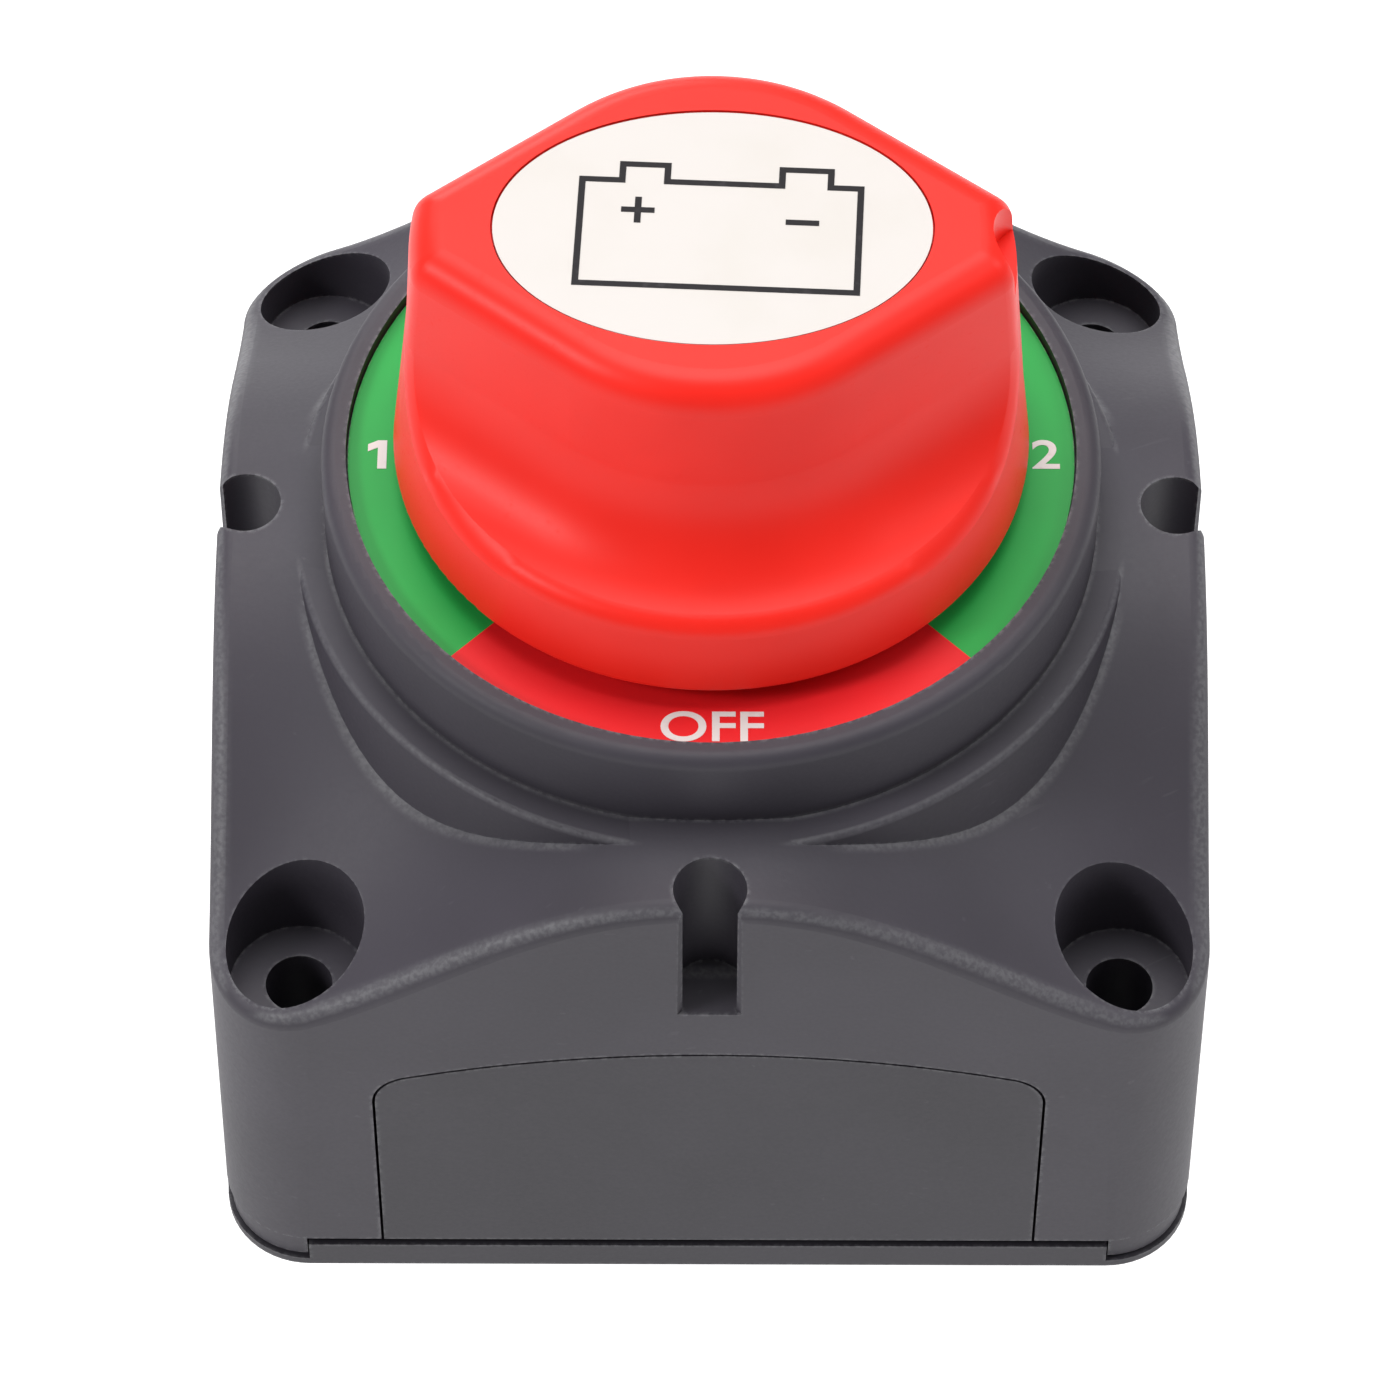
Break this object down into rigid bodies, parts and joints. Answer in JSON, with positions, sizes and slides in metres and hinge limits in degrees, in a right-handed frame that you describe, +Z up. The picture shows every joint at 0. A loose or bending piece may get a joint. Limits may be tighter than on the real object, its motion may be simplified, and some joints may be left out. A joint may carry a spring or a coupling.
{
  "type": "battery switch",
  "caption": "Square surface-mounted marine battery selector switch with a removable pointer knob on a round collar, printed dial, corner screw pockets and cable windows.",
  "frame": {"origin": "middle of the back cover's underside", "axes": "+Z up along the knob's axis, -Y towards the OFF side, +X towards position 2 where the knob points at rest"},
  "size_m": [0.069, 0.069, 0.0741],
  "materials": {
    "housing_plastic": "moulded, fine satin grain",
    "cover_plastic": "moulded, fine satin grain",
    "dial_print": "printed, satin",
    "knob_plastic": "moulded, semi gloss",
    "label_white": "printed, satin",
    "rotor_plastic": "glass filled nylon",
    "seal_rubber": "soft, matt",
    "spring_steel": "drawn wire and strip",
    "base_plastic": "moulded phenolic",
    "copper": "rolled copper, light tarnish",
    "stud_metal": "tinned, turned",
    "fastener_steel": "stainless"
  },
  "bodies": {
    "housing": {"housing": "housing_plastic", "dial_label": "dial_print", "detent_springs": "spring_steel", "contact_base": "base_plastic", "contact_pad_1": "copper", "contact_pad_2": "copper", "common_contact": "copper", "stud_1": "stud_metal", "stud_2": "stud_metal", "stud_common": "stud_metal", "flat_washers": "fastener_steel", "lock_washers": "fastener_steel", "terminal_nuts": "fastener_steel", "base_screws": "fastener_steel"},
    "rotor": {"rotor": "rotor_plastic", "shaft_seal": "seal_rubber", "thrust_washer": "fastener_steel", "contact_bridge": "copper", "contact_springs": "spring_steel"},
    "knob": {"knob": "knob_plastic", "knob_label": "label_white"},
    "back_cover": {"back_cover": "cover_plastic"},
    "plate_front": {"side_plate_front": "cover_plastic"},
    "plate_right": {"side_plate_right": "cover_plastic"},
    "plate_rear": {"side_plate_rear": "cover_plastic"},
    "plate_left": {"side_plate_left": "cover_plastic"}
  },
  "joints": [
    {"name": "rotor_turn", "type": "hinge", "parent": "housing", "child": "rotor", "pos_m": [0, 0, 0], "axis": [0, 0, 1], "continuous": true, "deforming": ["detent_springs"]},
    {"name": "knob_pull", "type": "slide", "parent": "rotor", "child": "knob", "axis": [0, 0, 1], "range_m": [0, 0.018]},
    {"name": "cover_pull", "type": "slide", "parent": "housing", "child": "back_cover", "axis": [0, 0, -1], "range_m": [0, 0.034]},
    {"name": "plate_front_slide", "type": "slide", "parent": "housing", "child": "plate_front", "axis": [0, 0, -1], "range_m": [0, 0.034]},
    {"name": "plate_right_slide", "type": "slide", "parent": "housing", "child": "plate_right", "axis": [0, 0, -1], "range_m": [0, 0.034]},
    {"name": "plate_rear_slide", "type": "slide", "parent": "housing", "child": "plate_rear", "axis": [0, 0, -1], "range_m": [0, 0.034]},
    {"name": "plate_left_slide", "type": "slide", "parent": "housing", "child": "plate_left", "axis": [0, 0, -1], "range_m": [0, 0.034]}
  ],
  "couplings": [
    {"joint": "plate_front_slide", "follows": "cover_pull", "ratio": 1},
    {"joint": "plate_right_slide", "follows": "cover_pull", "ratio": 1},
    {"joint": "plate_rear_slide", "follows": "cover_pull", "ratio": 1},
    {"joint": "plate_left_slide", "follows": "cover_pull", "ratio": 1}
  ]
}
